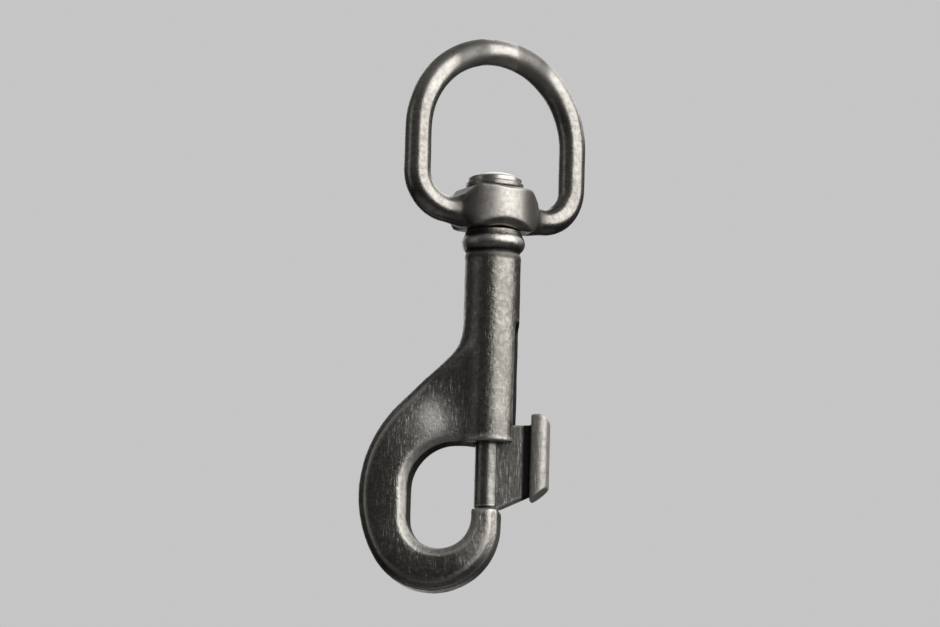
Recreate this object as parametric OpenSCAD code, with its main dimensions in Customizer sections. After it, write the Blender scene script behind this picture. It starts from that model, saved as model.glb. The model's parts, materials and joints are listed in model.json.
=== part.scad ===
// Swivel-eye bolt snap: a fixed hook closed by a spring-loaded bolt, turning on a riveted rope eye.
// +Z runs up the swivel axis, +X points to the thumb piece, and the hook lies in the XZ plane.
// The origin is the centre of the eye's opening.

/* [Eye] */
// Width of the eye's opening
eye_opening_w = 23.6; // [20:0.1:29]
// Height of the eye's opening
eye_opening_h = 21.4; // [18:0.1:27]
// Diameter of the eye's round arms and arch
eye_rod_d = 4.2; // [3:0.1:5]
// Diameter of the eye's lower bar
eye_bar_d = 5; // [4:0.1:6]
// Radius of the two lower corners, along the middle of the rod
eye_corner_r = 5.6; // [4:0.1:7]
// Turn of the eye about the swivel axis, away from the hook's plane
eye_turn = 38; // [0:1:90]

/* [Swivel] */
// Length of the hub along the eye's bar
hub_l = 13.4; // [11:0.1:15]
// Depth of the hub across the eye
hub_w = 10.4; // [9:0.1:12]
// Height of the hub
hub_h = 6.6; // [6:0.1:8]
// Diameter of the rivet's shank, and of the barrel's bore
shank_d = 4; // [3.4:0.1:4.8]
// Diameter of the washer under the rivet's head
washer_d = 9; // [7:0.1:9.5]
// Thickness of the washer
washer_t = 0.8; // [0.6:0.1:1.2]
// Diameter of the rivet's domed head
head_d = 8.4; // [6:0.1:9]
// Height of the head's upright rim
head_rim_h = 0.7; // [0.4:0.1:1.2]
// Height of the dome above the rim
dome_h = 1.1; // [0.8:0.1:2]

/* [Barrel] */
// Outside diameter of the barrel
barrel_d = 8.8; // [8:0.1:11]
// Length of the barrel with its collar
barrel_l = 33.4; // [32:0.1:40]
// Diameter of the collar at the barrel's top
collar_d = 10; // [9.6:0.1:12]
// Height of the collar
collar_h = 3.9; // [3.5:0.1:5]

/* [Hook] */
// Thickness of the hook
hook_t = 7; // [6:0.1:8.5]
// Reach of the hook's back from the barrel's axis
hook_reach = 19.7; // [18.5:0.1:21.5]
// Outside radius of the lower bend
bend_r = 10.3; // [10:0.1:10.8]
// Gap between the barrel and the hook's tip
gate_h = 10.3; // [9:0.1:11.5]
// Width of the bevel along the hook's edges
bevel = 1.2; // [0.5:0.1:1.5]

/* [Bolt] */
// Travel of the bolt and its thumb piece
bolt_travel = 12; // [10.5:0.1:12.5]
// Thickness of the thumb piece's web
web_t = 2.4; // [1.8:0.1:2.6]
// Width of the thumb pad across the hook
pad_w = 5; // [4:0.1:7]
// Thickness of the thumb pad
pad_t = 2.7; // [2.2:0.1:3.2]
// Height of the thumb pad
pad_h = 13.5; // [12:0.1:15]
// Diameter of the spring's wire
wire_d = 0.6; // [0.4:0.05:0.6]

/* [Hidden] */
$fn = 96;
over = 0.5;             // how far a cutter runs past the face it cuts
end_float = 0.1;        // play of the hub between washer and collar
run_fit = 0.05;         // radial clearance of a turning or sliding shaft

// Eye
eye_r = (eye_opening_w + eye_rod_d) / 2;
arch_z = eye_opening_h / 2 - eye_opening_w / 2;
bar_z = -eye_opening_h / 2 - eye_bar_d / 2;
bar_half = eye_r - eye_corner_r;
taper_l = 2;            // length over which the bar narrows to the rod
hub_bottom = bar_z - eye_bar_d / 2;
hub_top = hub_bottom + hub_h;
hub_face_r = 10;        // swell of the hub's two broad faces
hub_under = 1.3;        // bevel along the hub's lower edges
hub_shoulder = 2;       // bevel from the hub's top down to the bar
hub_brow = 0.5;         // bevel along the top of the hub's broad faces
washer_z = hub_top + end_float;

// Barrel
collar_top = hub_bottom - end_float;
rim_z = collar_top - barrel_l;
groove_d = barrel_d - 0.5;
groove_h = 0.5;
bore_d = shank_d;
grip_l = 5.2;           // length of shank held in the barrel

// Hook, as points [x, z]
back_c = [0, rim_z - 8.1];
bend_a = 209.5;         // where the back's arc meets the bend's arc
flare_a = 135;          // where the back's arc meets the straight flare
arc_step = 4;           // degrees between points on the hook's outer edge
bend_c = back_c + (hook_reach - bend_r) * [cos(bend_a), sin(bend_a)];
tip_z = rim_z - gate_h;
opening_x = -12;        // the hook's throat, at its spine
throat_r = 7;           // upper corner of the throat
seat_r = 5;             // bottom of the throat, where a ring or rope sits
throat_c = [opening_x + throat_r, rim_z - throat_r];
seat_c = [opening_x + seat_r, tip_z - 1.2];
flare_fillet_r = 8;

// Bolt and thumb piece
bolt_d = bore_d - 2 * run_fit;
tip_gap = 0.1;
bolt_end = tip_z + tip_gap;
bolt_top = rim_z + 7.2;
pilot_d = 2.2;
pilot_h = 0.7;
dimple_play = 0.15;
tongue_x = 0.7;         // inner face of the thumb piece, inside the bolt
web_top = rim_z + 2.85;
web_x = 6.8;            // where the web meets the pad
pad_x = web_x + pad_t;
pad_top = web_top + 1.6;
pad_bottom = pad_top - pad_h;
pad_edge_r = 1.3;
web_slope = 24;
pad_slope = 39;
slot_play = 0.25;
slot_w = web_t + 2 * slot_play;
slot_spare = 2.7;       // slot left above the web when the spring is fully closed
slot_top = web_top + bolt_travel + slot_w / 2 + slot_spare;

// Spring
shank_end = collar_top - grip_l;
spring_seat = 0.05;
spring_r = bore_d / 2 - 0.2 - wire_d / 2;
spring_bottom = bolt_top + spring_seat + wire_d / 2;
spring_height = shank_end - spring_seat - wire_d / 2 - spring_bottom;
spring_turns = 13;      // few enough that the closed coil leaves the bolt its full travel
steps_per_turn = 18;
wire_sides = 8;

// Lays a flat X, Z drawing in the hook's plane and gives it a thickness
module slab(thickness) {
    rotate([90, 0, 0])
        linear_extrude(thickness, center = true)
            children();
}

// Moves to a point [x, z] of the hook's plane, with X along the given direction
module at_point(point, angle = 0) {
    translate([point[0], 0, point[1]])
        rotate([90, 0, 0])
            rotate([0, 0, angle])
                children();
}

// Half section of an opening of radius r, widened by the bevel at both faces
module opening_section(r) {
    half = hook_t / 2;
    polygon([[0, -half - over], [r + bevel, -half - over], [r + bevel, -half], [r, bevel - half],
             [r, half - bevel], [r + bevel, half], [r + bevel, half + over], [0, half + over]]);
}

// Runs a half section straight on along the tangent
module along_tangent(run) {
    translate([0, run, 0])
        rotate([90, 0, 0])
            linear_extrude(run)
                children();
}

// Points on an arc about [x, z], two ends included
function arc_points(centre, r, from, to) =
    let (steps = ceil(abs(to - from) / arc_step))
    [for (i = [0:steps]) let (a = from + (to - from) * i / steps) centre + r * [cos(a), sin(a)]];

// The hook's outer edge, moved in by inset, and closed along the barrel's axis and over the tip
function outer_edge(inset) =
    let (back_r = hook_reach - inset,
         flare_top = back_c[1] + back_r / cos(flare_a - 90),
         back = arc_points(back_c, back_r, flare_a, bend_a),
         bend = arc_points(bend_c, bend_r - inset, bend_a, 360))
    concat([[0, flare_top]], back, [for (i = [1:len(bend) - 1]) bend[i]],
           [[bend_c[0] + bend_r - inset, tip_z], [0, tip_z]]);

// Blank of the hook with bevelled outer edges, before its openings are cut
module hook_blank() {
    half = hook_t / 2;
    levels = [[half, bevel], [half - bevel, 0], [bevel - half, 0], [-half, bevel]];
    n = len(outer_edge(0));
    points = [for (level = levels, p = outer_edge(level[1])) [p[0], level[0], p[1]]];
    sides = [for (k = [0:len(levels) - 2], i = [0:n - 1])
        let (a = k * n + i, b = k * n + (i + 1) % n)
        [a, a + n, b + n, b]];
    back = [for (i = [0:n - 1]) i];
    front = [for (i = [n - 1:-1:0]) (len(levels) - 1) * n + i];
    polyhedron(points, concat(sides, [back, front]));
}

module hook_plate() {
    difference() {
        hook_blank();
        at_point(throat_c, 90)
            rotate_extrude(angle = 90)
                opening_section(throat_r);
        at_point([0, throat_c[1]], 90)
            along_tangent(-throat_c[0])
                opening_section(throat_r);
        at_point(throat_c, 180)
            along_tangent(throat_c[1] - seat_c[1])
                opening_section(throat_r);
        at_point(seat_c)
            rotate_extrude()
                opening_section(seat_r);
        slab(hook_t + 2 * over)
            translate([throat_c[0], tip_z])
                square([hook_reach, gate_h]);
    }
    flare_hollow();
}

// Fills the corner between shoulder and barrel: its ends run out just under both surfaces
module flare_hollow() {
    sink = 0.2;
    wall_x = barrel_d / 2 - sink;
    corner_z = back_c[1] + (hook_reach - sink) / cos(flare_a - 90) - wall_x;
    reach = flare_fillet_r * tan((180 - flare_a) / 2);
    difference() {
        slab(hook_t - 2 * bevel - sink)
            polygon([[-wall_x, corner_z + reach], [0, corner_z + reach], [0, corner_z - reach],
                     [-wall_x - reach * sin(45), corner_z - reach * sin(45)]]);
        slab(hook_t)
            translate([-wall_x - flare_fillet_r, corner_z + reach])
                circle(flare_fillet_r);
    }
}

module barrel() {
    translate([0, 0, rim_z])
        cylinder(d = barrel_d, h = barrel_l - collar_h);
    translate([0, 0, rim_z])
        cylinder(d = groove_d, h = barrel_l);
    collar();
}

// Rounded shoulder under the eye
module collar() {
    bead_r = 1.5;
    bead_z = collar_top - collar_h + groove_h + bead_r;
    rotate_extrude() {
        translate([collar_d / 2 - bead_r, bead_z])
            circle(bead_r);
        polygon([[0, bead_z - bead_r], [collar_d / 2 - bead_r, bead_z - bead_r], [collar_d / 2, bead_z],
                 [collar_d / 2 - 0.7, collar_top], [0, collar_top]]);
    }
}

// One casting: collar, barrel, flared back, hook and tip
module hook_body() {
    color("dimgray")
        difference() {
            union() {
                hook_plate();
                barrel();
            }
            translate([0, 0, rim_z - over])
                cylinder(d = bore_d, h = barrel_l + 2 * over);
            thumb_slot();
            translate([0, 0, bolt_end - pilot_h - dimple_play])
                cylinder(d = pilot_d + 2 * dimple_play, h = 2 * pilot_h);
        }
}

// Slot in the barrel's wall, open at the rim, for the thumb piece's web
module thumb_slot() {
    translate([0, -slot_w / 2, rim_z - over])
        cube([barrel_d, slot_w, slot_top - slot_w / 2 - rim_z + over]);
    translate([0, 0, slot_top - slot_w / 2])
        rotate([0, 90, 0])
            cylinder(d = slot_w, h = barrel_d);
}

// Stirrup of round rod with a bored hub in the middle of its thicker lower bar
module swivel_eye() {
    color("gray")
        rotate([0, 0, eye_turn])
            difference() {
                union() {
                    eye_rod();
                    eye_bar();
                    hub();
                }
                translate([0, 0, hub_bottom - over])
                    cylinder(d = shank_d + 2 * run_fit, h = hub_h + 2 * over);
            }
}

module eye_rod() {
    corner_z = bar_z + eye_corner_r;
    at_point([0, arch_z])
        rotate_extrude(angle = 180)
            translate([eye_r, 0])
                circle(d = eye_rod_d);
    for (side = [0, 1])
        mirror([side, 0, 0]) {
            translate([eye_r, 0, corner_z])
                cylinder(d = eye_rod_d, h = arch_z - corner_z);
            at_point([bar_half, corner_z], 270)
                rotate_extrude(angle = 90)
                    translate([eye_corner_r, 0])
                        circle(d = eye_rod_d);
        }
}

module eye_bar() {
    for (side = [0, 1])
        mirror([side, 0, 0])
            translate([0, 0, bar_z])
                rotate([0, 90, 0]) {
                    cylinder(d = eye_bar_d, h = bar_half - taper_l);
                    translate([0, 0, bar_half - taper_l])
                        cylinder(d1 = eye_bar_d, d2 = eye_rod_d, h = taper_l);
                }
}

// Swelling block, bevelled all along below and down to the bar at both ends
module hub() {
    translate([0, 0, hub_bottom])
        intersection() {
            linear_extrude(hub_h)
                hub_outline();
            rotate([90, 0, 0])
                linear_extrude(hub_w, center = true)
                    bevelled_block(hub_l, hub_under, hub_shoulder);
            rotate([90, 0, 90])
                linear_extrude(hub_l, center = true)
                    bevelled_block(hub_w, hub_under, hub_brow);
        }
}

// Upright face of the hub, as wide as given, with its lower and upper corners cut off
module bevelled_block(width, low, high) {
    side = width / 2;
    polygon([[side - low, 0], [side, low], [side, hub_h - high], [side - high, hub_h],
             [high - side, hub_h], [-side, hub_h - high], [-side, low], [low - side, 0]]);
}

module hub_outline() {
    intersection() {
        square([hub_l, hub_w], center = true);
        translate([0, hub_w / 2 - hub_face_r])
            circle(hub_face_r, $fn = 4 * $fn);
        translate([0, hub_face_r - hub_w / 2])
            circle(hub_face_r, $fn = 4 * $fn);
    }
}

// Domed pin: its shank turns in the hub, is fixed in the barrel and closes the bore over the spring
module swivel_rivet() {
    head_z = washer_z + washer_t;
    dome_z = head_z + head_rim_h;
    dome_r = (pow(head_d / 2, 2) + pow(dome_h, 2)) / (2 * dome_h);
    color("gray")
        rotate_extrude() {
            intersection() {
                translate([0, dome_z + dome_h - dome_r])
                    circle(dome_r);
                translate([0, head_z])
                    square([head_d / 2, head_rim_h + dome_h + over]);
            }
            translate([0, shank_end])
                square([shank_d / 2, dome_z - shank_end]);
        }
}

module head_washer() {
    color("silver")
        translate([0, 0, washer_z])
            difference() {
                cylinder(d = washer_d, h = washer_t);
                translate([0, 0, -over])
                    cylinder(d = shank_d, h = washer_t + 2 * over);
            }
}

// Plunger with a groove for the thumb piece and a short pilot that seats in the hook's tip
module bolt() {
    end_bevel = 0.4;
    color("silver")
        difference() {
            union() {
                translate([0, 0, bolt_end + end_bevel])
                    cylinder(d = bolt_d, h = bolt_top - bolt_end - end_bevel);
                translate([0, 0, bolt_end])
                    cylinder(d1 = bolt_d - 2 * end_bevel, d2 = bolt_d, h = end_bevel);
                translate([0, 0, bolt_end - pilot_h])
                    cylinder(d = pilot_d, h = 2 * pilot_h);
            }
            web();
        }
}

// Flat web from inside the bolt out to the pad, with its underside rising outwards
module web() {
    slab(web_t)
        polygon([[tongue_x, web_top], [web_x + pad_t / 2, web_top],
                 [web_x + pad_t / 2, bolt_end + (web_x + pad_t / 2 - bolt_d / 2) * tan(web_slope)],
                 [bolt_d / 2, bolt_end], [tongue_x, bolt_end]]);
}

// Upright pad with round edges, cut on a slant below
module thumb_pad() {
    intersection() {
        translate([0, 0, pad_bottom])
            linear_extrude(pad_h)
                for (x = [web_x + pad_edge_r, pad_x - pad_edge_r], y = [-1, 1] * (pad_w / 2 - pad_edge_r))
                    pad_corner(x, y);
        slab(pad_w)
            pad_side();
    }
}

// One rounded corner of the pad's cross-section, with the bars that join it to the other three
module pad_corner(x, y) {
    translate([x, y])
        circle(pad_edge_r);
    translate([x - pad_edge_r, -abs(y)])
        square([2 * pad_edge_r, 2 * abs(y)]);
    translate([web_x + pad_edge_r, y - pad_edge_r])
        square([pad_t - 2 * pad_edge_r, 2 * pad_edge_r]);
}

// The pad seen from the side: one rounded top corner and the slanted foot
module pad_side() {
    translate([pad_x - pad_edge_r, pad_top - pad_edge_r])
        circle(pad_edge_r);
    polygon([[web_x, pad_bottom], [pad_x, pad_bottom + pad_t * tan(pad_slope)],
             [pad_x, pad_top - pad_edge_r], [pad_x - pad_edge_r, pad_top], [web_x, pad_top]]);
}

module thumb_piece() {
    color("dimgray") {
        web();
        thumb_pad();
    }
}

// Height of the wire's middle along the coil: one closed turn at each end, even pitch between
function coil_z(turn) =
    let (open_turns = spring_turns - 2,
         pitch = (spring_height - 2 * wire_d) / open_turns)
    min(turn, 1) * wire_d + max(0, min(turn - 1, open_turns)) * pitch
    + max(0, turn - spring_turns + 1) * wire_d;

// Compression spring between the bolt and the rivet's shank
module spring() {
    steps = spring_turns * steps_per_turn;
    points = [for (i = [0:steps], j = [0:wire_sides - 1])
        let (around = 360 * i / steps_per_turn,
             section = 360 * j / wire_sides,
             r = spring_r + wire_d / 2 * cos(section))
        [r * cos(around), r * sin(around),
         spring_bottom + coil_z(i / steps_per_turn) + wire_d / 2 * sin(section)]];
    sides = [for (i = [0:steps - 1], j = [0:wire_sides - 1])
        let (a = i * wire_sides + j,
             b = i * wire_sides + (j + 1) % wire_sides)
        [a, b, b + wire_sides, a + wire_sides]];
    start = [[for (j = [wire_sides - 1:-1:0]) j]];
    end = [[for (j = [0:wire_sides - 1]) steps * wire_sides + j]];
    color("silver")
        polyhedron(points, concat(sides, start, end));
}

hook_body();
swivel_eye();
swivel_rivet();
head_washer();
bolt();
thumb_piece();
spring();
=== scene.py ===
"""Looks of the swivel-eye bolt snap: worn castings, turned pins and a coil spring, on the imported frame."""
import json
import math

import bmesh
import bpy
import numpy as np
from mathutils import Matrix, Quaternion, Vector, noise


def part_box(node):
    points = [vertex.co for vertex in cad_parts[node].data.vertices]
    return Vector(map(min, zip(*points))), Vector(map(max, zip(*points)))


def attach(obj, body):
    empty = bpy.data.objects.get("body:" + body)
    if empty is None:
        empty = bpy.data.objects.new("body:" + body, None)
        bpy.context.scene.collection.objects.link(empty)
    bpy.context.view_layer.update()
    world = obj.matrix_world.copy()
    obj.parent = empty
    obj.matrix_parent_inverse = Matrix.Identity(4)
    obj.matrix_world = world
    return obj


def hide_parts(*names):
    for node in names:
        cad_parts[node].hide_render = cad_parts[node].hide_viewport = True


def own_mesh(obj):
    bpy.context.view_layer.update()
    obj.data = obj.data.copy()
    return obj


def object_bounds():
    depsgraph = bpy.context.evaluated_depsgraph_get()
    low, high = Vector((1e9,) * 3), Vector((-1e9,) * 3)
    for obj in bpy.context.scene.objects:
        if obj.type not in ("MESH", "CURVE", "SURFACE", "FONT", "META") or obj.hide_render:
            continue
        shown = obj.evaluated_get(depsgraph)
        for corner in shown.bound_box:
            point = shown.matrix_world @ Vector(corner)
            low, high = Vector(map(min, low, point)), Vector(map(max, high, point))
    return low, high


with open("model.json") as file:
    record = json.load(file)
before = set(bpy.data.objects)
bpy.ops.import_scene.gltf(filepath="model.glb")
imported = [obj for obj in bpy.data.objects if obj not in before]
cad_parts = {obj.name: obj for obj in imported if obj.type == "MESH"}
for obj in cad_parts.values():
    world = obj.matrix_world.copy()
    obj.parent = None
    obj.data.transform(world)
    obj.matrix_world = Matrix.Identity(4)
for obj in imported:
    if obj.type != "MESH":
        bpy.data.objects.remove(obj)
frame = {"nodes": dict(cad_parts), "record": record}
CAD_LOW, CAD_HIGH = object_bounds()
MM = 0.001

# Places and sizes in millimetres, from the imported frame
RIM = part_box("bolt")[1].z / MM - 7.2               # lower end of the barrel, which the bolt reaches into
COLLAR_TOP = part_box("hook_body")[1].z / MM
COLLAR_BOTTOM = COLLAR_TOP - 3.9                   # where the plain barrel starts
HUB_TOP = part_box("head_washer")[0].z / MM - 0.1    # under the washer, with 0.1 mm of end play
HUB_REACH = 6.7                                    # from the swivel axis to the hub's ends along the bar
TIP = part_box("bolt")[0].z / MM + 0.6               # end of the hook, which the bolt's pilot dips into
SLOT_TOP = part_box("thumb_piece")[1].z / MM + 14.5  # above the thumb piece's travel
SLOT_Y = 1.45                                      # half the thumb slot's width
PAD_X = 6.8                                        # where the thumb piece's web meets its pad
BORE_R = 2.0
BARREL_R = 4.4
FACE_Y = 3.5                                       # half the hook's thickness
THROAT_X = -12                                     # left side of the throat
THROAT_R = 7                                       # its upper bend
SEAT_R = 5                                         # its round seat
SEAT_DEPTH = 11.5                                  # from the rim down to the seat's centre
CHEEK_RISE = 0.4                                   # how far the hook's cheeks swell out, and sink beside that
CROWN = 0.45                                       # how far its flat faces are rounded, from 0 to 1


# ---------------------------------------------------------------- small helpers

def srgb(code):
    """Linear RGBA from a six-figure sRGB hex colour."""
    def linear(part):
        return part / 12.92 if part <= 0.04045 else ((part + 0.055) / 1.055) ** 2.4
    return (*(linear(int(code[i:i + 2], 16) / 255) for i in (0, 2, 4)), 1.0)


def add(tree, kind, inputs=None, **settings):
    """Adds a node: settings are its properties, and inputs are values or the sockets that feed it."""
    made = tree.nodes.new(kind)
    for name, value in settings.items():
        setattr(made, name, value)
    for key, value in (inputs or {}).items():
        if isinstance(value, bpy.types.NodeSocket):
            tree.links.new(value, made.inputs[key])
        else:
            made.inputs[key].default_value = value
    return made


def weighted_sum(tree, start, *layers):
    """The start value with each layer added to it, times its weight."""
    for layer, weight in layers:
        start = add(tree, "ShaderNodeMath", {0: layer, 1: weight, 2: start},
                    operation="MULTIPLY_ADD").outputs[0]
    return start


def neighbour_average(co, edges):
    """For each vertex, the average place of the vertices that it shares an edge with."""
    ends = np.concatenate([edges, edges[:, ::-1]])
    count = np.bincount(ends[:, 0], minlength=len(co))
    total = [np.bincount(ends[:, 0], column[ends[:, 1]], minlength=len(co)) for column in co.T]
    return np.stack(total, -1) / np.maximum(count, 1)[:, None]


def relaxed(co, edges, rounds, share=None):
    """The points after some rounds of moving half way to their neighbours, less where share is under 1."""
    step = 0.5 if share is None else 0.5 * share[:, None]
    for _ in range(rounds):
        co = co + step * (neighbour_average(co, edges) - co)
    return co


def read_points(mesh):
    co = np.zeros(len(mesh.vertices) * 3)
    mesh.vertices.foreach_get("co", co)
    return co.reshape(-1, 3)


def read_edges(mesh):
    edges = np.zeros(len(mesh.edges) * 2, int)
    mesh.edges.foreach_get("vertices", edges)
    return edges.reshape(-1, 2)


def write_points(mesh, co):
    mesh.vertices.foreach_set("co", co.astype(np.float32).ravel())
    mesh.update()


def write_mark(mesh, name, value):
    """Stores one number a vertex, which the materials read by name."""
    mark = mesh.attributes.new(name, "FLOAT", "POINT")
    mark.data.foreach_set("value", value.astype(np.float32))


def smooth_step(value, low, high):
    """0 up to low, 1 from high on, and an even rise between them."""
    t = np.clip((value - low) / (high - low), 0, 1)
    return t * t * (3 - 2 * t)


def near(co, centre, radius):
    """1 at a place given in millimetres, falling to 0 at the radius."""
    distance = np.linalg.norm(co / MM - np.array(centre), axis=1)
    return 1 - smooth_step(distance, 0, radius)


def on_both_faces(co, x, z, radius):
    """The same round spot on the hook's two flat faces."""
    return near(co, (x, -FACE_Y, z), radius) + near(co, (x, FACE_Y, z), radius)


def new_object(name, mesh):
    made = bpy.data.objects.new(name, mesh)
    bpy.context.scene.collection.objects.link(made)
    return made


def evaluated_mesh(obj):
    """The object's mesh with its modifiers worked in."""
    graph = bpy.context.evaluated_depsgraph_get()
    return bpy.data.meshes.new_from_object(obj.evaluated_get(graph))


def even_skin(node, name, cell):
    """Object with an even, closed skin of small faces over a copy of a CAD node."""
    copy = frame["nodes"][node].data.copy()
    joined = bmesh.new()
    joined.from_mesh(copy)
    bmesh.ops.remove_doubles(joined, verts=joined.verts, dist=1e-6)
    joined.to_mesh(copy)
    joined.free()
    copy.materials.clear()
    rough = new_object(name + "_rough", copy)
    remesh = rough.modifiers.new("skin", "REMESH")
    remesh.mode = "VOXEL"
    remesh.voxel_size = cell
    skin = evaluated_mesh(rough)
    bpy.data.objects.remove(rough)
    skin.name = name
    return new_object(name, skin)


def mark_edges(mesh, rounds, least, full, painted_shade=0):
    """Marks how far each point stands out of, or lies in, the surface around it, and where shade is painted:
    painted_shade darkens a place like a sunken one and takes the edge wear off it.

    Lengths are in millimetres. Round surfaces stand out by about least anyway, so an edge starts past it.
    """
    co = read_points(mesh)
    normals = np.zeros(len(co) * 3)
    mesh.vertex_normals.foreach_get("vector", normals)
    out = ((co - relaxed(co, read_edges(mesh), rounds)) * normals.reshape(-1, 3)).sum(1)
    # painted shade: places given painted_shade lose their edge wear and are darkened with the grime colour
    write_mark(mesh, "edge", np.clip((out / MM - least) / full, 0, 1) * (1 - painted_shade))
    write_mark(mesh, "hollow_and_shade", np.maximum(np.clip(-out / MM / full, 0, 1), painted_shade))


def uneven(mesh, depth, size, share=1.0):
    """Moves the skin in and out by about the depth, in waves of the size, as casting or a hammer does."""
    co = read_points(mesh)
    lift = np.array([noise.noise(Vector(point / (size * MM))) for point in co])
    normals = np.zeros(len(co) * 3)
    mesh.vertex_normals.foreach_get("vector", normals)
    write_points(mesh, co + normals.reshape(-1, 3) * (lift * share * depth * MM)[:, None])


def trued(co, radius, slack, share):
    """Puts points that lie near a cylinder about Z exactly on it, where share is 1."""
    found = np.hypot(co[:, 0], co[:, 1])
    close = np.abs(found - radius * MM) < slack * MM
    scale = np.where(close, 1 + share * (radius * MM / np.maximum(found, 1e-9) - 1), 1)
    return co * np.stack([scale, scale, np.ones(len(co))], -1)


def dress(obj, material, body, node):
    """Gives a finished piece its material and body, in place of its CAD node."""
    obj.data.materials.clear()
    obj.data.materials.append(material)
    for face in obj.data.polygons:
        face.use_smooth = True
    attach(obj, body)
    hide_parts(node)


# ---------------------------------------------------------------- materials

# Sizes of the finish in millimetres
BLOTCH_MM = 5            # cloudy patches of tarnish
MOTTLE_MM = 0.7          # mottling inside a patch
GRAIN_MM = 0.2           # grain of the cast skin
PIT_MM = 0.8             # spacing of the shallow casting pits
SCRATCH_MM = 0.14        # width of the rubbing scratches, about twice as wide as real so that they show
SCRATCH_SQUEEZE = 0.05   # scratches run along the snap and are twenty times as long as wide
GRAIN_ROUGH = 0.16       # how much the grain varies the roughness


def plated_metal(name, plate, tarnish, grime_and_shade_colour, shine, dull, cover, relief_depth):
    """Nickel plate over bronze: bright where it is rubbed and where highlights are painted, dark and duller
    where it has tarnished and where shade is painted.
    """
    material = bpy.data.materials.new(name)
    material.use_nodes = True
    tree = material.node_tree
    tree.nodes.clear()

    place = add(tree, "ShaderNodeTexCoord").outputs["Object"]
    mm = add(tree, "ShaderNodeVectorMath", {0: place, "Scale": 1 / MM}, operation="SCALE").outputs[0]
    along = add(tree, "ShaderNodeVectorMath", {0: mm, 1: (1, 1, SCRATCH_SQUEEZE)},
                operation="MULTIPLY").outputs[0]
    blotch, mottle, grain, streaks = (
        add(tree, "ShaderNodeTexNoise", {"Vector": where, "Scale": 1 / size, "Detail": detail,
                                         "Roughness": 0.62}).outputs["Fac"]
        for where, size, detail in ((mm, BLOTCH_MM, 3), (mm, MOTTLE_MM, 5), (mm, GRAIN_MM, 3),
                                    (along, SCRATCH_MM, 2)))
    edge, hollow_and_shade, rubbed = (add(tree, "ShaderNodeAttribute", attribute_name=mark).outputs["Fac"]
                            for mark in ("edge", "hollow_and_shade", "rubbed"))
    scratch = add(tree, "ShaderNodeMapRange", {"Value": streaks, "From Min": 0.6,
                                               "From Max": 0.72}).outputs[0]
    cells = add(tree, "ShaderNodeTexVoronoi", {"Vector": mm, "Scale": 1 / PIT_MM, "Randomness": 1.0},
                feature="SMOOTH_F1").outputs["Distance"]
    pits = add(tree, "ShaderNodeMapRange", {"Value": cells, "From Max": 0.3}).outputs[0]

    # tarnish wears off in patches, first along edges, scratches and wherever the piece is rubbed; the rubbed
    # mark also paints highlights, and the tarnish stays on where shade is painted
    patch = weighted_sum(tree, -cover, (blotch, 0.5), (mottle, 1.0), (grain, 0.5), (edge, 0.9),
                         (rubbed, 0.55), (hollow_and_shade, -0.8), (scratch, 0.25))
    bare = add(tree, "ShaderNodeMapRange", {"Value": patch, "From Min": -0.1, "From Max": 0.9},
               interpolation_type="SMOOTHSTEP").outputs[0]
    metal = add(tree, "ShaderNodeMix", {0: bare, 6: srgb(tarnish), 7: srgb(plate)},
                data_type="RGBA").outputs[2]
    # grime settles in the hollows and dulls them; the same grime colour is painted shade where painted_shade
    # was marked
    settling_and_shade = weighted_sum(tree, -0.75, (mottle, 1.2), (hollow_and_shade, 1.6))
    grime_and_shade = add(tree, "ShaderNodeMapRange", {"Value": settling_and_shade, "From Min": 0.15,
                                            "From Max": 1.1}).outputs[0]
    colour = add(tree, "ShaderNodeMix", {0: grime_and_shade, 6: metal, 7: srgb(grime_and_shade_colour)},
                 data_type="RGBA").outputs[2]
    # rubbed places are satin, so that they catch the light from more sides than the plain plate does
    smooth = add(tree, "ShaderNodeMapRange", {"Value": bare, "To Min": dull - GRAIN_ROUGH / 2,
                                              "To Max": shine - GRAIN_ROUGH / 2}).outputs[0]
    rough = weighted_sum(tree, smooth, (grain, GRAIN_ROUGH), (grime_and_shade, 0.25), (rubbed, 0.3), (edge, 0.15))
    # scratches are cut into the skin, and deepest where it is rubbed
    cut = weighted_sum(tree, -0.12, (rubbed, -0.5))
    relief = weighted_sum(tree, 0.0, (pits, 0.3), (mottle, 0.9), (grain, 0.3), (scratch, cut))
    bump = add(tree, "ShaderNodeBump", {"Height": relief, "Strength": 0.6, "Distance": relief_depth})
    shader = add(tree, "ShaderNodeBsdfPrincipled", {
        "Base Color": colour, "Metallic": weighted_sum(tree, 1.0, (grime_and_shade, -0.6)), "Roughness": rough,
        "Normal": bump.outputs[0]})
    add(tree, "ShaderNodeOutputMaterial", {"Surface": shader.outputs[0]})
    return material


def worn_cast_nickel():
    """Sand-cast bronze, nickel plated and tarnished dark, with the plate rubbed bright along every edge."""
    return plated_metal("worn_cast_nickel", plate="d3cfc8", tarnish="7b7771", grime_and_shade_colour="131211",
                        shine=0.22, dull=0.3, cover=0.9, relief_depth=0.11 * MM)


def eye_cast_nickel():
    """The same plate on the eye, kept smoother and brighter by the rope that turns and slides in it."""
    return plated_metal("eye_cast_nickel", plate="c8c4bd", tarnish="7e7a74", grime_and_shade_colour="161514",
                        shine=0.22, dull=0.3, cover=0.66, relief_depth=0.015 * MM)


def rubbed_turned_nickel():
    """Turned pin stock, nickel plated and polished by sliding: bright, with thin tarnish left in patches."""
    return plated_metal("rubbed_turned_nickel", plate="c6c3bd", tarnish="6a6763", grime_and_shade_colour="1c1b1a",
                        shine=0.24, dull=0.36, cover=0.7, relief_depth=0.03 * MM)


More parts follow.
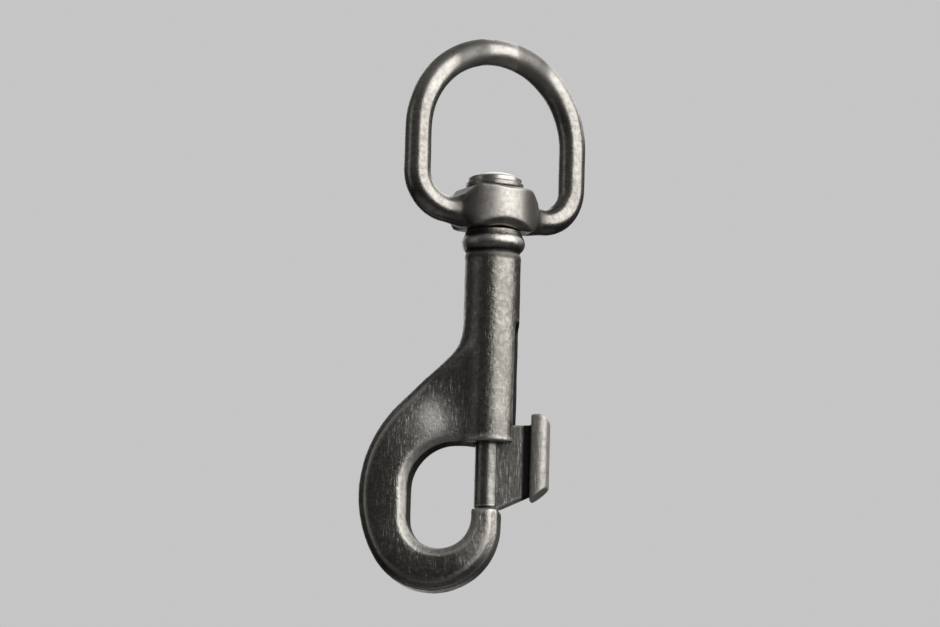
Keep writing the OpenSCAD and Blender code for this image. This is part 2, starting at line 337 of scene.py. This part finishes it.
def drawn_spring_wire():
    """Hard-drawn stainless wire: cool, even grey with a soft shine."""
    return plated_metal("drawn_spring_wire", plate="c9cbcd", tarnish="8c8e90", grime_and_shade_colour="2b2b2c",
                        shine=0.25, dull=0.38, cover=0.4, relief_depth=0.01 * MM)


# ---------------------------------------------------------------- castings

def above_rim(z):
    """1 above the barrel's lower end, 0 below it."""
    return smooth_step(z, RIM, RIM + 1)


def below_collar(z):
    """1 below the collar, 0 on it."""
    return 1 - smooth_step(z, COLLAR_BOTTOM - 1, COLLAR_BOTTOM)


def on_barrel(x, z):
    """1 on the barrel, 0 on the hook and on the flare beside it."""
    return smooth_step(x, -BARREL_R - 0.6, -BARREL_R + 1.4) * smooth_step(z, RIM - 1, RIM)


def from_throat(x, z):
    """Distance from the throat's outline into the hook, in millimetres: two arcs, the spine and the rim."""
    upper_z, seat_x, seat_z = RIM - THROAT_R, THROAT_X + SEAT_R, RIM - SEAT_DEPTH
    upper = np.hypot(x - THROAT_X - THROAT_R, z - upper_z) - THROAT_R
    seat = np.hypot(x - seat_x, z - seat_z) - SEAT_R
    above = np.where(x > THROAT_X + THROAT_R, z - RIM, upper)
    beside = np.abs(x - seat_x) - SEAT_R
    return np.where(z > upper_z, above, np.where(z < seat_z, seat, beside))


def hook_softening(x, y, z):
    """Where the corner between barrel and flare is filled, clear of the rim, the bore and the slot."""
    corner = smooth_step(-x, 1.0, 2.4) * (1 - smooth_step(-x, 7.5, 10)) * below_collar(z) * above_rim(z)
    return corner * smooth_step(np.hypot(x, y), BORE_R + 0.5, BORE_R + 1.2)


def hook_painted_shade(x, y, z):
    """Painted shade on the hook: inside the barrel, on the sides of the slot, on the shoulder under the
    collar and on the throat's wall.
    """
    inside = 1 - smooth_step(np.hypot(x, y), BARREL_R - 0.3, BARREL_R - 0.1)
    by_slot = smooth_step(x, 2, 3) * (1 - smooth_step(abs(y), SLOT_Y + 0.15, SLOT_Y + 0.55))
    by_slot *= 1 - smooth_step(z, SLOT_TOP, SLOT_TOP + 0.5)
    shoulder = smooth_step(z, COLLAR_BOTTOM - 1, COLLAR_BOTTOM - 0.6)
    shoulder *= 1 - smooth_step(z, COLLAR_BOTTOM, COLLAR_BOTTOM + 0.3)
    wall = (1 - smooth_step(from_throat(x, z), 0.1, 0.4)) * (1 - smooth_step(abs(y), 2, 2.6))
    wall *= smooth_step(z, TIP - 9, TIP - 6)
    barrel = 0.9 * above_rim(z) * np.maximum(inside, by_slot)
    return np.maximum(barrel, np.maximum(0.4 * shoulder, 0.7 * wall))


def hook_wear_and_highlight(co, x, y, z):
    """Where rings and hands have rubbed the hook: its cheeks, its tip and the lip around the throat; on the
    cheeks and along the lip it is also painted highlight.
    """
    cheek = on_both_faces(co, x=-8.5, z=RIM + 2, radius=9)
    tip = on_both_faces(co, x=-0.5, z=TIP - 5, radius=7)
    lip = (1 - smooth_step(from_throat(x, z), 0.9, 1.4)) * smooth_step(abs(y), 2.2, 2.7)
    return np.clip(cheek + 0.8 * tip + 0.9 * lip * (1 - 0.7 * on_barrel(x, z)), 0, 1)


def shape_cheeks(co, edges, x, y, z):
    """Moves the flat faces: each cheek swells and then sinks towards the barrel, and the hook is crowned."""
    flare = 1 - on_barrel(x, z)
    swell = on_both_faces(co, x=-10.5, z=RIM + 2.5, radius=5)
    sink = on_both_faces(co, x=-6, z=RIM + 4.5, radius=5)
    co[:, 1] += np.sign(y) * (CHEEK_RISE * swell - CHEEK_RISE * sink * flare) * MM * smooth_step(abs(y), 1, 3)
    crown = relaxed(co[:, 1:2], edges, rounds=300)[:, 0] - co[:, 1]
    co[:, 1] += CROWN * crown * flare * (1 - near(co, (0, 0, TIP), radius=4))


def trued_bore(co):
    """Puts the skin's points inside the bore back on its true circle, so that the bolt runs clear."""
    radius = np.hypot(co[:, 0], co[:, 1])
    inside = (radius < (BORE_R + 0.35) * MM) & (co[:, 2] > (RIM + 0.1) * MM)
    push = np.where(inside, np.maximum(BORE_R * MM / np.maximum(radius, 1e-9), 1), 1)
    return co * np.stack([push, push, np.ones(len(co))], -1)


def hook_casting(material):
    """Collar, barrel, flared back and hook in one casting, with its edges softened as cast and tumbled."""
    obj = even_skin("hook_body", "hook_casting", cell=0.2 * MM)
    mesh = obj.data
    co, edges = read_points(mesh), read_edges(mesh)
    # x, y and z are the points' places before the skin is softened
    x, y, z = (co / MM).T
    co = relaxed(co, edges, rounds=10, share=0.35 + 0.65 * below_collar(z))
    co = relaxed(co, edges, rounds=90, share=hook_softening(x, y, z))
    write_points(mesh, co)
    # painted shade inside the barrel, beside the slot, under the collar and on the throat's wall
    mark_edges(mesh, rounds=16, least=0.02, full=0.04, painted_shade=hook_painted_shade(x, y, z))
    # rubbing wear, with painted highlights on the cheeks and along the throat's lip
    write_mark(mesh, "rubbed", hook_wear_and_highlight(co, x, y, z))
    shape_cheeks(co, edges, x, y, z)
    from_axis = np.hypot(x, y)
    outer = smooth_step(x, -1, 0) * (from_axis > BARREL_R - 0.3)
    write_points(mesh, trued(co, BARREL_R, slack=0.12, share=outer * above_rim(z) * below_collar(z)))
    clear_of_bore = smooth_step(from_axis, BORE_R + 0.5, BORE_R + 1)
    uneven(mesh, depth=0.04, size=3.5, share=clear_of_bore)
    uneven(mesh, depth=0.015, size=0.9, share=clear_of_bore)
    write_points(mesh, trued_bore(read_points(mesh)))
    dress(obj, material, "hook", "hook_body")


def eye_casting(material):
    """Round-rod stirrup running smoothly into its hub, with painted highlight down the crest of the hub's
    broad faces and painted shade beside it.
    """
    obj = even_skin("swivel_eye", "eye_casting", cell=0.17 * MM)
    mesh = obj.data
    co, edges = read_points(mesh), read_edges(mesh)
    x, y, z = (co / MM).T
    from_axis = np.hypot(x, y)
    off_bore = smooth_step(from_axis, BORE_R + 0.6, BORE_R + 1.4)
    block = (1 - smooth_step(from_axis, HUB_REACH + 0.8, HUB_REACH + 3.3)) * off_bore
    lower_hub = 1 - smooth_step(from_axis, HUB_REACH + 1.3, HUB_REACH + 4.3)
    lower_hub *= (1 - smooth_step(z, HUB_TOP - 3, HUB_TOP - 1)) * off_bore
    co = relaxed(co, edges, rounds=8)
    co = relaxed(co, edges, rounds=12, share=block)
    co = relaxed(co, edges, rounds=25, share=lower_hub)
    write_points(mesh, co)
    uneven(mesh, depth=0.06, size=4, share=smooth_step(from_axis, BORE_R + 0.6, BORE_R + 1.2))
    face_x, face_y, _ = next(mount["axis"] for mount in frame["record"]["mounts"] if mount["name"] == "eye")
    # painted highlight: crest brightens the plate down the middle of the hub's broad faces, and painted shade
    # darkens the hub beside it
    crest = 1 - smooth_step(abs(x * face_y - y * face_x), 0, 4)
    mark_edges(mesh, rounds=20, least=0.035, full=0.05, painted_shade=0.4 * block * (1 - crest))
    write_mark(mesh, "rubbed", 0.5 * smooth_step(z, 2, 9) + 0.3 * crest * block)
    dress(obj, material, "eye", "swivel_eye")


def thumb_casting(material):
    """Web and thumb pad in one small casting, with painted shadow on the web in the corner beside the pad,
    and rubbed on the pad.
    """
    obj = even_skin("thumb_piece", "thumb_casting", cell=0.11 * MM)
    mesh = obj.data
    co, edges = read_points(mesh), read_edges(mesh)
    x = co[:, 0] / MM
    write_points(mesh, relaxed(co, edges, rounds=12))
    # painted shadow: corner darkens the web beside the pad, where the pad shades it
    corner = smooth_step(x, PAD_X - 1.6, PAD_X - 0.8) * (1 - smooth_step(x, PAD_X - 0.2, PAD_X + 0.1))
    mark_edges(mesh, rounds=14, least=0.012, full=0.03, painted_shade=0.9 * corner)
    write_mark(mesh, "rubbed", 0.6 + 0.4 * smooth_step(x, PAD_X - 0.4, PAD_X + 0.2))
    dress(obj, material, "plunger", "thumb_piece")


# ---------------------------------------------------------------- turned pieces

def arc(centre, radius, start, end, steps=6):
    """Points on an arc in the [radius, height] plane, both ends included, in degrees."""
    angles = [math.radians(start + (end - start) * i / steps) for i in range(steps + 1)]
    return [(centre[0] + radius * math.cos(a), centre[1] + radius * math.sin(a)) for a in angles]


def lathe(name, outline, closed, sides=128):
    """Mesh turned about Z from an outline in millimetres: closed like a ring, or ending on the axis twice."""
    turned = bmesh.new()
    rings = []
    for radius, height in outline:
        if radius < 1e-6:
            rings.append([turned.verts.new((0, 0, height * MM))])
            continue
        rings.append([turned.verts.new((radius * MM * math.cos(a), radius * MM * math.sin(a), height * MM))
                      for a in (2 * math.pi * i / sides for i in range(sides))])
    pairs = list(zip(rings, rings[1:] + rings[:1])) if closed else list(zip(rings, rings[1:]))
    for ring, following in pairs:
        for i in range(sides):
            j = (i + 1) % sides
            corners = [ring[i % len(ring)], ring[j % len(ring)], following[j % len(following)],
                       following[i % len(following)]]
            turned.faces.new(list(dict.fromkeys(corners)))
    bmesh.ops.recalc_face_normals(turned, faces=turned.faces)
    mesh = bpy.data.meshes.new(name)
    turned.to_mesh(mesh)
    turned.free()
    return mesh


def rivet(material):
    """Peened pin: a wide low head over the washer and a shank down into the barrel."""
    low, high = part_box("swivel_rivet")
    bottom, top, head_r = low.z / MM, high.z / MM, high.x / MM
    head_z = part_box("head_washer")[1].z / MM
    end_r = 0.3          # rounding of the shank's end
    lip_r = 0.12         # rounding of the head's lower edge
    shoulder_r = 0.28    # rounding of the head's upper edge, a little under the dome's foot
    shoulder_drop = 0.12
    dome_h = 1.1
    foot_z = top - dome_h
    dome_r = (head_r ** 2 + dome_h ** 2) / (2 * dome_h)
    half = math.degrees(math.asin(head_r / dome_r))
    outline = [(0, bottom), *arc((BORE_R - end_r, bottom + end_r), end_r, -90, 0), (BORE_R, head_z),
               *arc((head_r - lip_r, head_z + lip_r), lip_r, -90, 0),
               *arc((head_r - shoulder_r, foot_z - shoulder_drop), shoulder_r, 0, 90 - half),
               *arc((0, top - dome_r), dome_r, 90 - 0.9 * half, 90, 14)[:-1], (0, top)]
    obj = new_object("peened_rivet", lathe("peened_rivet", outline, closed=False))
    height = read_points(obj.data)[:, 2] / MM
    uneven(obj.data, depth=0.04, size=1.3, share=smooth_step(height, foot_z - 0.2, foot_z + 0.2))
    mark_edges(obj.data, rounds=12, least=0.01, full=0.03)
    dress(obj, material, "hook", "swivel_rivet")


def washer(material):
    """Thin turned washer with its edges rolled over."""
    low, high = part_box("head_washer")
    bottom, top, outside = low.z / MM, high.z / MM, high.x / MM
    roll = 0.18
    outline = [(BORE_R, bottom), *arc((outside - roll, bottom + roll), roll, -90, 0),
               *arc((outside - roll, top - roll), roll, 0, 90), (BORE_R, top)]
    obj = new_object("rivet_washer", lathe("rivet_washer", outline, closed=True))
    mark_edges(obj.data, rounds=4, least=0.01, full=0.03)
    dress(obj, material, "hook", "head_washer")


def plunger_pin(material):
    """Bolt with its end bevel, pilot and the groove for the thumb piece, edges just broken."""
    obj = even_skin("bolt", "plunger_pin", cell=0.09 * MM)
    mesh = obj.data
    co = relaxed(read_points(mesh), read_edges(mesh), rounds=5)
    write_points(mesh, trued(co, BORE_R - 0.05, slack=0.06, share=1))
    mark_edges(mesh, rounds=30, least=0.02, full=0.04)
    dress(obj, material, "plunger", "bolt")


# ---------------------------------------------------------------- spring

def coil_tree(material):
    """Geometry nodes: a wire coil about Z with one closed turn at each end and an even pitch between."""
    tree = bpy.data.node_groups.new("spring_coil", "GeometryNodeTree")
    tree.interface.new_socket("Geometry", in_out="INPUT", socket_type="NodeSocketGeometry")
    tree.interface.new_socket("Geometry", in_out="OUTPUT", socket_type="NodeSocketGeometry")
    for label in ("Turns", "Steps", "Radius", "Wire", "Bottom", "Height"):
        tree.interface.new_socket(label, in_out="INPUT", socket_type="NodeSocketFloat")
    given = add(tree, "NodeGroupInput").outputs

    index = add(tree, "GeometryNodeInputIndex").outputs[0]
    turn = add(tree, "ShaderNodeMath", {0: index, 1: given["Steps"]}, operation="DIVIDE").outputs[0]
    last_turn = weighted_sum(tree, -1.0, (given["Turns"], 1.0))
    free = weighted_sum(tree, given["Height"], (given["Wire"], -2.0))
    height = given["Bottom"]
    for start, end, gain in ((0.0, 1.0, given["Wire"]), (1.0, last_turn, free),
                             (last_turn, given["Turns"], given["Wire"])):
        rise = add(tree, "ShaderNodeMapRange", {"Value": turn, "From Min": start, "From Max": end,
                                                "To Max": gain}).outputs[0]
        height = weighted_sum(tree, height, (rise, 1.0))
    lift = add(tree, "ShaderNodeCombineXYZ", {2: height})
    flat = add(tree, "GeometryNodeCurveSpiral", {
        "Resolution": given["Steps"], "Rotations": given["Turns"], "Start Radius": given["Radius"],
        "End Radius": given["Radius"], "Height": 0.0, "Reverse": True})
    coil = add(tree, "GeometryNodeSetPosition", {"Geometry": flat.outputs[0], "Offset": lift.outputs[0]})
    half_wire = add(tree, "ShaderNodeMath", {0: given["Wire"], 1: 0.5}, operation="MULTIPLY")
    ring = add(tree, "GeometryNodeCurvePrimitiveCircle", {"Resolution": 10, "Radius": half_wire.outputs[0]})
    wire = add(tree, "GeometryNodeCurveToMesh", {"Curve": coil.outputs[0], "Profile Curve": ring.outputs[0],
                                                 "Fill Caps": True})
    real = add(tree, "GeometryNodeRealizeInstances", {"Geometry": wire.outputs[0]})
    dressed = add(tree, "GeometryNodeSetMaterial", {"Geometry": real.outputs[0], "Material": material})
    add(tree, "NodeGroupOutput", {"Geometry": dressed.outputs[0]})
    return tree


def spring(material):
    """Compression spring behind the bolt; the real one shortens as the bolt is drawn back, but this coil is
    made at one fixed length.
    """
    low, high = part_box("spring")
    wire = 0.6 * MM
    sizes = {"Turns": 13, "Steps": 24, "Wire": wire, "Radius": high.x - wire / 2,
             "Bottom": low.z + wire / 2, "Height": high.z - low.z - wire}
    holder = new_object("coil_holder", bpy.data.meshes.new("coil_holder"))
    coil = holder.modifiers.new("coil", "NODES")
    coil.node_group = coil_tree(material)
    for item in coil.node_group.interface.items_tree:
        if item.name in sizes:
            coil[item.identifier] = float(sizes[item.name])
    obj = new_object("coil_spring", evaluated_mesh(holder))
    bpy.data.objects.remove(holder)
    dress(obj, material, "hook", "spring")
    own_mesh(obj)


# ---------------------------------------------------------------- stage, light and camera

CENTRE = (CAD_LOW + CAD_HIGH) / 2
VIEW_AZIMUTH = 8
VIEW_ELEVATION = -10.5
VIEW_ROLL = 1.55
VIEW_DISTANCE = 0.81
VIEW_LENS = 200
FLOOR_DROP = 0.45
BACKDROP = 0.56          # how bright the camera sees the space behind the object


def direction(azimuth, elevation):
    """Unit vector from the object towards a place: azimuth 0 is in front, 90 is on the +X side."""
    a, e = math.radians(azimuth), math.radians(elevation)
    return Vector((math.sin(a) * math.cos(e), -math.cos(a) * math.cos(e), math.sin(e)))


def soft_box(name, azimuth, elevation, distance, width, height, power):
    """Rectangular studio light that faces the object and isn't seen by the camera."""
    light = bpy.data.lights.new(name, "AREA")
    light.shape = "RECTANGLE"
    light.size, light.size_y = width, height
    light.energy = power
    lamp = bpy.data.objects.new(name, light)
    bpy.context.scene.collection.objects.link(lamp)
    lamp.location = CENTRE + distance * direction(azimuth, elevation)
    lamp.rotation_mode = "QUATERNION"
    lamp.rotation_quaternion = (CENTRE - lamp.location).to_track_quat("-Z", "Y")
    lamp.visible_camera = False


def pale_floor():
    """Plain floor far under the object, which glows a little so that it stays even."""
    bpy.ops.mesh.primitive_plane_add(size=8, location=(0, 0, -FLOOR_DROP))
    floor = bpy.context.object
    floor.name = "floor"
    material = bpy.data.materials.new("pale_floor")
    material.use_nodes = True
    shader = material.node_tree.nodes["Principled BSDF"]
    shader.inputs["Base Color"].default_value = srgb("c9c9c7")
    shader.inputs["Roughness"].default_value = 0.9
    shader.inputs["Emission Color"].default_value = srgb("c9c9c7")
    shader.inputs["Emission Strength"].default_value = 0.83
    floor.data.materials.append(material)
    floor.visible_glossy = False
    floor.visible_diffuse = False


def studio_world():
    """Pale backdrop, and a dimmer room for the metal to reflect: grey above, dark below, paler underfoot."""
    world = bpy.data.worlds.new("studio")
    bpy.context.scene.world = world
    world.use_nodes = True
    tree = world.node_tree
    tree.nodes.clear()
    place = add(tree, "ShaderNodeTexCoord").outputs["Generated"]
    up = add(tree, "ShaderNodeSeparateXYZ", {0: place}).outputs[2]
    walls = add(tree, "ShaderNodeMapRange", {"Value": up, "From Min": -0.5, "From Max": 0.7,
                                             "To Min": 0.015, "To Max": 0.11}).outputs[0]
    ground = add(tree, "ShaderNodeMapRange", {"Value": up, "From Min": -0.6, "From Max": -0.9,
                                              "To Max": 0.1}).outputs[0]
    room = weighted_sum(tree, walls, (ground, 1.0))
    seen = add(tree, "ShaderNodeLightPath").outputs["Is Camera Ray"]
    strength = add(tree, "ShaderNodeMix", {0: seen, 2: room, 3: BACKDROP}, data_type="FLOAT").outputs[0]
    back = add(tree, "ShaderNodeBackground", {"Color": srgb("ffffff"), "Strength": strength})
    add(tree, "ShaderNodeOutputWorld", {"Surface": back.outputs[0]})


def main_camera():
    lens = bpy.data.cameras.new("camera")
    lens.lens = VIEW_LENS
    camera = bpy.data.objects.new("camera", lens)
    bpy.context.scene.collection.objects.link(camera)
    toward = direction(VIEW_AZIMUTH, VIEW_ELEVATION)
    camera.location = CENTRE + VIEW_DISTANCE * toward
    camera.rotation_mode = "QUATERNION"
    roll = Quaternion((0, 0, 1), math.radians(VIEW_ROLL))
    camera.rotation_quaternion = (-toward).to_track_quat("-Z", "Y") @ roll
    bpy.context.scene.camera = camera


# ---------------------------------------------------------------- making

cast_plate = worn_cast_nickel()
eye_plate = eye_cast_nickel()
bright_plate = rubbed_turned_nickel()
hook_casting(cast_plate)
eye_casting(eye_plate)
thumb_casting(cast_plate)
rivet(eye_plate)
# the washer takes the darker, more tarnished cast plate, whose dark rim is also painted shade under the rivet
# head
washer(cast_plate)
plunger_pin(bright_plate)
spring(drawn_spring_wire())

soft_box("key", azimuth=62, elevation=22, distance=0.6, width=1.0, height=0.7, power=4.4)
soft_box("fill", azimuth=-64, elevation=8, distance=0.9, width=0.3, height=0.9, power=0.2)
soft_box("back", azimuth=155, elevation=40, distance=0.8, width=0.9, height=0.6, power=2)
soft_box("behind", azimuth=202, elevation=12, distance=0.8, width=0.7, height=0.7, power=1.5)
pale_floor()
studio_world()
main_camera()
bpy.context.scene.view_settings.view_transform = "Standard"
